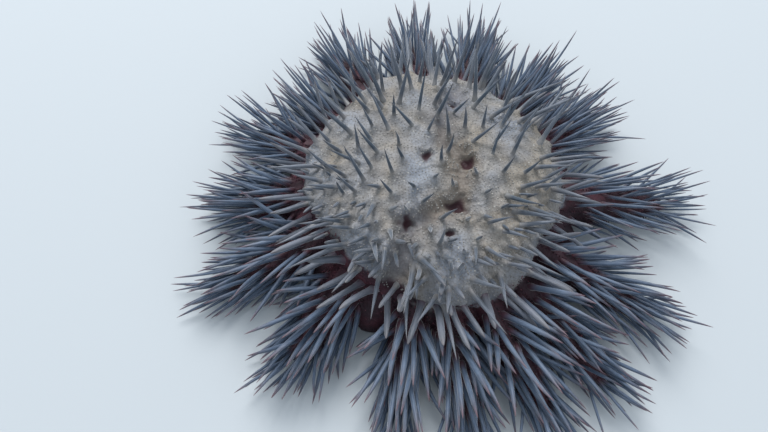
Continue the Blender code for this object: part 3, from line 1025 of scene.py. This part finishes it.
def across_ways(aims):
    """Two unit ways across each aim."""
    helper = np.where(np.abs(aims[:, 2:]) < 0.9, [[0.0, 0.0, 1.0]], [[1.0, 0.0, 0.0]])
    first = np.cross(aims, helper)
    first /= np.linalg.norm(first, axis=1)[:, None]
    return first, np.cross(aims, first)


def one_body(steps, sides):
    """Faces of one body, and where each of their corners lies on its patch of the map."""
    faces, marks = [], []
    last = len(steps) - 2
    for row, (low, high) in enumerate(zip(steps[:-1], steps[1:])):
        a, b = row * sides, (row + 1) * sides
        for k in range(sides):
            after = (k + 1) % sides
            left, right = k / sides, (k + 1) / sides
            marks += [(left, low), (right, low)]
            if row < last:
                faces.append((a + k, a + after, b + after, b + k))
                marks += [(right, high), (left, high)]
            else:
                faces.append((a + k, a + after, b))
                marks.append(((k + 0.5) / sides, 1))
    faces.append(tuple(reversed(range(sides))))
    marks += [(0.5, 0.0)] * sides
    return faces, np.array(marks)


def swept(name, bodies, profile, sides, sunk, patch, collar=0.0, edged=0.0):
    """One mesh of many bodies. profile has (place, width share) rows and ends in a point.

    The first stretch, sunk, is under the skin, and the next, collar, is wrapped in it.
    """
    roots, aims, lengths, radii = [
        np.array([body[key] for body in bodies]) for key in ("root", "aim", "length", "radius")
    ]
    bends, sways = [
        np.array([body.get(key, (0, 0, 0)) for body in bodies])[:, None] for key in ("bend", "sway")
    ]
    steps, widths = np.array(profile).T[..., None]
    reach = (lengths[:, None, None] + sunk) * steps - sunk
    lines = roots[:, None] + aims[:, None] * reach + bends * steps ** 2
    lines = lines + sways * np.sin(np.pi * steps)
    turns = np.arange(sides) / sides * 2 * np.pi
    edges = 1 + edged * np.cos(3 * turns) * smooth_step(steps, *EDGED_FROM)
    ring = radii[:, None, None] * widths * edges
    x, y = ring * np.cos(turns), ring * np.sin(turns)
    first, second = across_ways(aims)
    rings = lines[:, :, None] + x[..., None] * first[:, None, None]
    rings = rings + y[..., None] * second[:, None, None]
    count, size = len(bodies), (len(profile) - 1) * sides + 1
    corners = rings.reshape(count, -1, 3)[:, :size]
    bare = np.clip((reach - collar) / (lengths[:, None, None] - collar), 0, 1)
    along = np.repeat(bare[..., 0], sides, axis=1)[:, :size]
    straight = np.broadcast_to(reach * GRAIN_STRETCH, x.shape)
    grain = np.stack((x, y, straight), axis=3).reshape(count, -1, 3)[:, :size]
    grain = grain + GRAIN_APART * np.arange(count)[:, None, None]
    faces, marks = one_body(steps[:, 0], sides)
    whole = [tuple(i + size * n for i in face) for n in range(count) for face in faces]
    mesh = bpy.data.meshes.new(name)
    mesh.from_pydata(corners.reshape(-1, 3).tolist(), [], whole)
    lightness_values = np.repeat([body["tone"] for body in bodies], size)
    mesh.attributes.new("along", "FLOAT", "POINT").data.foreach_set("value", along.ravel())
    mesh.attributes.new("tone", "FLOAT", "POINT").data.foreach_set("value", lightness_values)
    mesh.attributes.new("grain", "FLOAT_VECTOR", "POINT").data.foreach_set("vector", grain.ravel())
    centres = np.array([body["mark"] for body in bodies])[:, None]
    bake = centres + (marks[None] - 0.5) * np.array(patch)
    mesh.uv_layers.new(name="OFBake").data.foreach_set("uv", bake.ravel())
    mesh.shade_smooth()
    mesh.update()
    return add_object(name, mesh)


print("one function sweeps every thorn, granule and foot")

# %% [markdown]
# ## The thorns themselves
#
# A real thorn is a single crystal of limestone, calcite, sheathed in thin skin. It stands on a
# short fleshy collar, keeps its width for two thirds of its length and then narrows to a
# three-edged point as sharp as a needle, blunter at the rim and the near side. The sheath is
# slate blue-grey, maroon at the root, and red-brown at the point on the arms. Calcite has an
# index of refraction near 1.6, wet skin near 1.4, and what the eye sees is the skin: a soft
# gloss, roughness about 0.45. Its streaks, at 0.8 mm, are drawn coarser than real.

# %% Sweep the thorns, one piece for each node
ARM_PROFILE = (
    (0.00, 1.40), (0.11, 1.32), (0.16, 1.14), (0.22, 1.02), (0.36, 1.00), (0.52, 0.96),
    (0.66, 0.87), (0.77, 0.72), (0.86, 0.53), (0.93, 0.32), (0.98, 0.12), (1.00, 0.0),
)
RIM_PROFILE = (
    (0.00, 1.60), (0.11, 1.50), (0.17, 1.25), (0.24, 1.08), (0.36, 1.00), (0.52, 0.98),
    (0.67, 0.94), (0.79, 0.84), (0.88, 0.66), (0.94, 0.44), (0.98, 0.22), (1.00, 0.0),
)
DISC_PROFILE = (
    (0.00, 1.90), (0.12, 1.75), (0.17, 1.42), (0.24, 1.20), (0.36, 1.06), (0.50, 0.92),
    (0.62, 0.76), (0.73, 0.58), (0.83, 0.39), (0.91, 0.23), (0.97, 0.10), (1.00, 0.0),
)
THORN_SIDES = 10
THORN_SUNK = 0.0030
DISC_COLLAR = 0.0022
ARM_COLLAR = 0.0008
THORN_PATCH = (0.012, 0.030)
TIP_EDGE = 0.10

SHAPES = {
    "disc": (DISC_PROFILE, DISC_COLLAR),
    "rim": (RIM_PROFILE, ARM_COLLAR),
    "near": (RIM_PROFILE, DISC_COLLAR),
}

pieces = {}
for node, group in thorns.by_node.items():
    name = "thorns_" + node
    profile, collar = SHAPES.get(node, (ARM_PROFILE, ARM_COLLAR))
    pieces[name] = swept(
        name, group, profile, THORN_SIDES, THORN_SUNK, THORN_PATCH, collar, TIP_EDGE
    )
print(len(roots), "thorns in", len(pieces), "pieces")

# %% Material of the thorns
STREAK = 0.0008


def make_thorn_material(name, sheath_to, dark_shades, pale_shades):
    """The sheath of a thorn. The shades run from the root, which ends at sheath_to, to the tip."""
    material, add = new_material(name)
    along, tone, grain = [
        add("Attribute", {"attribute_name": name}, output)
        for name, output in (("along", "Fac"), ("tone", "Fac"), ("grain", "Vector"))
    ]
    streaks = add(
        "TexNoise", {"Scale": 1 / STREAK, "Detail": 3.0, "Roughness": 0.6, "Vector": grain}
    )
    places = (sheath_to - 0.07, sheath_to + 0.08, 0.60, 0.80, 1.00)
    dark, pale = [
        add("ValToRGB", {"stops": list(zip(places, shades)), "Fac": along})
        for shades in (dark_shades, pale_shades)
    ]
    uneven = add("MapRange", {
        "From Min": 0.3, "From Max": 0.7, "To Min": -0.25, "To Max": 0.25, "Value": streaks,
    })
    # The mix from the dark shades to the pale ones follows each thorn's lightness: random, and near
    # the disc's rim partly painted light and shade; the streaks are the sheath's own.
    paleness = add("Math", {"operation": "ADD", "use_clamp": True, 0: tone, 1: uneven})
    colour = add("Mix", {"data_type": "RGBA", 0: paleness, MIX_A: dark, MIX_B: pale}, MIX_RESULT)
    bumps = add("Bump", {"Strength": 0.6, "Distance": 0.0003, "Height": streaks})
    shader = add("BsdfPrincipled", {
        "IOR": 1.4, "Roughness": 0.45, "Sheen Weight": 0.6, "Sheen Roughness": 0.35,
        "Base Color": colour, "Normal": bumps,
    })
    add("OutputMaterial", {"Surface": shader})
    return material


# The pale shades stand partly for a paler sheath and partly for painted light on lit thorns.
arm_thorn = make_thorn_material(
    "calcite thorn in slate skin, maroon at the root", 0.10,
    ("#462c35", "#3c495c", "#455468", "#4d515f", "#624348"),
    ("#51353f", "#606e82", "#707e92", "#6a6e7b", "#735459"),
)
rim_thorn = make_thorn_material(
    "calcite thorn in slate skin, mauve at the root", 0.10,
    ("#4c3a44", "#444d58", "#47525e", "#4a4f58", "#504a4f"),
    ("#6a5d66", "#6c6f78", "#757984", "#74777e", "#716c6f"),
)
disc_thorn = make_thorn_material(
    "calcite thorn in slate skin, tan at the root", 0.13,
    ("#7c7b7a", "#3f4a55", "#434f5b", "#464c55", "#4c494d"),
    ("#7f7d7e", "#6a6e77", "#777b85", "#74777e", "#716e70"),
)
finishes = {"thorns_disc": disc_thorn, "thorns_rim": rim_thorn, "thorns_near": disc_thorn}
for name, piece in pieces.items():
    piece.data.materials.append(finishes.get(name, arm_thorn))
print("thorns in", [material.name for material in (arm_thorn, rim_thorn, disc_thorn)])

# %% [markdown]
# ## Granules and gills
#
# Between the thorns the crown is covered with low limy granules, tan or maroon as the skin
# under them. The arms and the webs have maroon finger-like gills up to 2 mm long. Bump alone
# would leave the outline of the skin smooth, so the larger ones are real small bodies, spread
# like the seeds of a sunflower.

# %% Spread the granules and the gills
GRANULE_COUNT = 6800
GRANULE_RADII = (0.00030, 0.00060)
GRANULE_TALLNESS = 0.9
GRANULE_TURN_WANDER = 0.02
SMALL_SIDES = 5
SMALL_SUNK = 0.0004
FLANK_LATITUDE = -0.31
GILLS_PER_ARM = 300
GILLS_PER_WEB = 70
GILL_LENGTHS = (0.0009, 0.0020)
WEB_GILL_SHARE = 0.6
GILL_GIRTH = 110
GILL_RADIUS = 0.00042
GILL_LEAN = 0.5
GRANULE_LEAN = 0.25
LOWEST_GILL = 0.0024
SMALL_PATCH = (0.003, 0.003)
GRANULE_PROFILE = ((0.0, 1.0), (0.55, 0.95), (0.85, 0.62), (1.0, 0.0))
GILL_PROFILE = ((0.0, 1.0), (0.45, 0.85), (0.80, 0.62), (1.0, 0.0))


def new_body(root, aim, length, radius, mark):
    return {
        "root": np.array(root), "aim": np.array(aim), "length": length, "radius": radius,
        "tone": DRAW.random(), "mark": mark,
    }


def small_body(spot, length, radius, mark, lean):
    """A granule or gill that stands on the sculpted skin at the place nearest to spot."""
    root, normal, _, _ = skin_tree.find_nearest(spot)
    return new_body(root, unit(np.array(normal) + wander(lean)), length, radius, mark)


def even_latitudes(count):
    """Latitudes from the crown's top down its flank that share its area out evenly."""
    latitudes = np.linspace(pi / 2, FLANK_LATITUDE, 200)
    rings = np.array([disc_point(0.0, latitude) - MIDDLE for latitude in latitudes])
    widths = np.linalg.norm(np.diff(rings, axis=0), axis=1)
    areas = np.cumsum(widths * (rings[1:, 0] + rings[:-1, 0]))
    return np.interp((np.arange(count) + 0.5) / count * areas[-1], areas, latitudes[1:])


def disc_granules():
    """The granules of the disc in two lists: those on tan skin and those on maroon skin."""
    bodies = []
    for k, latitude in enumerate(even_latitudes(GRANULE_COUNT)):
        share = 1 - 0.3 * latitude if latitude < 0 else cos(latitude) ** CROWN_FULLNESS
        bearing = k * GOLDEN_ANGLE + jitter(GRANULE_TURN_WANDER)
        radius = DRAW.uniform(*GRANULE_RADII)
        spot, mark = disc_point(bearing, latitude), disc_mark(bearing, share)
        bodies.append(small_body(spot, radius * GRANULE_TALLNESS, radius, mark, GRANULE_LEAN))
    on_tan = tan_share(np.array([body["root"] for body in bodies])) > 0.5
    return [[body for body, is_tan in zip(bodies, on_tan) if is_tan == side] for side in (1, 0)]


def arm_gills():
    bodies = []
    for number, arm in enumerate(arms.values()):
        for k in range(GILLS_PER_ARM):
            share = between((ARM_ROOT_DEPTH / arm.span, 0.98), (k + 0.5) / GILLS_PER_ARM)
            girth = radians(((k * GOLDEN_DEGREES) % (2 * GILL_GIRTH)) - GILL_GIRTH)
            mark = ((number + 0.5 + girth / (2 * pi) * 0.9) / len(arms), share)
            length = DRAW.uniform(*GILL_LENGTHS)
            spot = arm.point(share, girth)
            bodies.append(small_body(spot, length, GILL_RADIUS, mark, GILL_LEAN))
    return bodies


def web_gills():
    bodies = []
    for bearing, gap in webs:
        for k in range(GILLS_PER_WEB):
            turn = k * GOLDEN_ANGLE
            spot = web_point(bearing, gap, turn, between((0.15, 1), (k + 0.5) / GILLS_PER_WEB))
            aside = gap * 0.3 * sin(turn)
            mark = disc_mark(bearing + aside, 1.12 + 0.02 * cos(turn))
            length = DRAW.uniform(*GILL_LENGTHS) * WEB_GILL_SHARE
            bodies.append(small_body(spot, length, GILL_RADIUS, mark, GILL_LEAN))
    return bodies


on_tan, on_maroon = disc_granules()
for name, bodies, profile in (
    ("crown_granules", on_tan, GRANULE_PROFILE),
    ("rim_granules", on_maroon, GRANULE_PROFILE),
    ("web_gills", web_gills(), GILL_PROFILE),
    ("arm_gills", arm_gills(), GILL_PROFILE),
):
    kept = [body for body in bodies if body["root"][2] > LOWEST_GILL]
    pieces[name] = swept(name, kept, profile, SMALL_SIDES, SMALL_SUNK, SMALL_PATCH)
    print(len(kept), "bodies in", name)

# %% Material of the granules and the gills


def make_small_material(name, shades, roughness):
    """Soft tissue in a few shades, one for each small body by its tone."""
    material, add = new_material(name)
    tone = add("Attribute", {"attribute_name": "tone"}, "Fac")
    colour = add("ValToRGB", {"stops": shades, "Fac": tone})
    shader = add("BsdfPrincipled", {"IOR": 1.4, "Roughness": roughness, "Base Color": colour})
    add("OutputMaterial", {"Surface": shader})
    return material


tan_granule = make_small_material(
    "limy granules under tan skin",
    ((0.0, "#7f7c78"), (0.6, "#8c8985"), (0.93, "#9a9793"), (1.0, "#b3aea6")), 0.6,
)
gill_tissue = make_small_material(
    "maroon gill tissue", ((0.0, "#2f1d26"), (0.6, "#482b36"), (1.0, "#77444e")), 0.5
)
pieces["crown_granules"].data.materials.append(tan_granule)
for name in ("rim_granules", "web_gills", "arm_gills"):
    pieces[name].data.materials.append(gill_tissue)
print("each small body takes one shade by its tone")

# %% [markdown]
# ## The underside
#
# Underneath, a groove runs from the mouth along every arm, with two rows of tube feet that
# hold the animal to the ground. They are soft straw-coloured pipes with a round sucker, as
# seen on any starfish turned over. Short blunt thorns stand round the mouth.

# %% Make the tube feet and the thorns of the mouth
FOOT_SPACING = 0.0036
FOOT_ASIDE = 0.0011
FOOT_RADIUS = 0.00075
FOOT_SUNK = 0.0006
FOOT_PROFILE = ((0.0, 0.8), (0.62, 0.75), (0.86, 1.25), (0.97, 1.25), (1.0, 0.0))
FEET_UP_TO = 0.9
LEAST_ROOF = 0.001
SOLE_GAP = 0.0001
MOUTH_THORNS = 30
MOUTH_THORN_SIZE = (0.0055, 0.0007)
MOUTH_THORN_SUNK = 0.001
MOUTH_THORN_HEIGHT = 0.0022
MOUTH_THORN_DROP = -0.10
MOUTH_RING_SHARE = 0.93
MOUTH_THORN_PROFILE = ((0.0, 1.0), (0.5, 1.0), (0.85, 0.7), (1.0, 0.0))
UNDERSIDE_SIDES = 7


def tube_feet():
    """Feet in pairs from the mouth along each groove, from its roof down to the ground."""
    bodies = []
    for number, arm in enumerate(arms.values()):
        start = MIDDLE + arm.outward * MOUTH_RADIUS
        root, tip = arm.centre(0.0), arm.centre(FEET_UP_TO)
        first = (root - start).length
        total = first + (tip - root).length
        for k in range(int(total / FOOT_SPACING)):
            along = (k + 0.5) * FOOT_SPACING
            if along < first:
                spot = start.lerp(root, along / first)
            else:
                spot = root.lerp(tip, (along - first) / (total - first))
            for side in (-1, 1):
                place = spot + arm.across * side * FOOT_ASIDE
                roof = skin_tree.ray_cast(place + up(-LEAST_ROOF), up(1))[0]
                if roof is None or roof.z < LEAST_ROOF:
                    continue
                mark = ((number + 0.5 + side * 0.2) / len(arms), along / total)
                bodies.append(new_body(roof, up(-1), roof.z - SOLE_GAP, FOOT_RADIUS, mark))
    return bodies


def mouth_thorns():
    bodies = []
    for k in range(MOUTH_THORNS):
        bearing = 2 * pi * k / MOUTH_THORNS
        outward = level_ways(bearing)[0]
        root = MIDDLE + outward * MOUTH_RADIUS * MOUTH_RING_SHARE + up(MOUTH_THORN_HEIGHT)
        mark = (0.5 + 0.4 * cos(bearing), 0.5 + 0.4 * sin(bearing))
        bodies.append(new_body(root, unit(up(MOUTH_THORN_DROP) - outward), *MOUTH_THORN_SIZE, mark))
    return bodies


foot_tissue = make_small_material(
    "straw-coloured tube feet", ((0.0, "#a08a5c"), (0.7, "#b9a578"), (1.0, "#cfc19b")), 0.4
)
for name, bodies, profile, sunk, finish in (
    ("tube_feet", tube_feet(), FOOT_PROFILE, FOOT_SUNK, foot_tissue),
    ("mouth_thorns", mouth_thorns(), MOUTH_THORN_PROFILE, MOUTH_THORN_SUNK, arm_thorn),
):
    pieces[name] = swept(name, bodies, profile, UNDERSIDE_SIDES, sunk, SMALL_PATCH)
    pieces[name].data.materials.append(finish)
    print(len(bodies), "bodies in", name)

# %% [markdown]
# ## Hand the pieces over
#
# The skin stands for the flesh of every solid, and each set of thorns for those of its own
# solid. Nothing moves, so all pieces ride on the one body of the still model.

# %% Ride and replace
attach(skin, "root")
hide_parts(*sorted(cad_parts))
for name, piece in pieces.items():
    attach(piece, "root")
    node = name.removeprefix("thorns_")
    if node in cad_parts:
        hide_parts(node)
    "arm_skin" if "arm" in name else "disc_skin"
everything = {"skin": skin, **pieces}
print("faces", {name: len(piece.data.polygons) for name, piece in everything.items()})

# %% [markdown]
# ## The studio
#
# A plain pale floor and soft light from large lamps show the shapes without drama. The main
# lamp stands high on the far left, as daylight falls in the picture, a weaker one fills in
# from the near right, and a pale, slightly blue world lifts the shadows.

# %% Floor, lamps and world
FLOOR_SIZE = 6.0
FLOOR_DROP = -0.0004
WORLD_STRENGTH = 0.86
# Each row is a name, a place, a width and a power in watts.
LAMPS = (
    ("main lamp", (-0.8, 2.0, 2.4), 2.0, 112.0),
    ("fill lamp", (1.6, -1.8, 1.6), 2.4, 8.0),
)


def make_floor():
    bm = bmesh.new()
    bmesh.ops.create_grid(bm, x_segments=1, y_segments=1, size=FLOOR_SIZE / 2)
    floor = add_object("floor", mesh_from(bm, "floor"))
    floor.location.z = FLOOR_DROP
    material, add = new_material("pale matt floor")
    shader = add("BsdfPrincipled", {"Base Color": linear("#bbc0c3"), "Roughness": 0.9})
    add("OutputMaterial", {"Surface": shader})
    floor.data.materials.append(material)


def make_world():
    world = bpy.data.worlds.new("pale studio")
    world.use_nodes = True
    background = world.node_tree.nodes["Background"]
    background.inputs["Color"].default_value = linear("#d4e1ee")
    background.inputs["Strength"].default_value = WORLD_STRENGTH
    bpy.context.scene.world = world


make_floor()
make_world()
for name, place, size, power in LAMPS:
    lamp = add_object(name, bpy.data.lights.new(name, "AREA"))
    lamp.data.shape = "DISK"
    lamp.data.size = size
    lamp.data.energy = power
    lamp.location = place
    lamp.rotation_euler = (MIDDLE - lamp.location).to_track_quat("-Z", "Y").to_euler()
bpy.context.scene.view_settings.view_transform = "Standard"
print("studio with", len(LAMPS), "lamps")
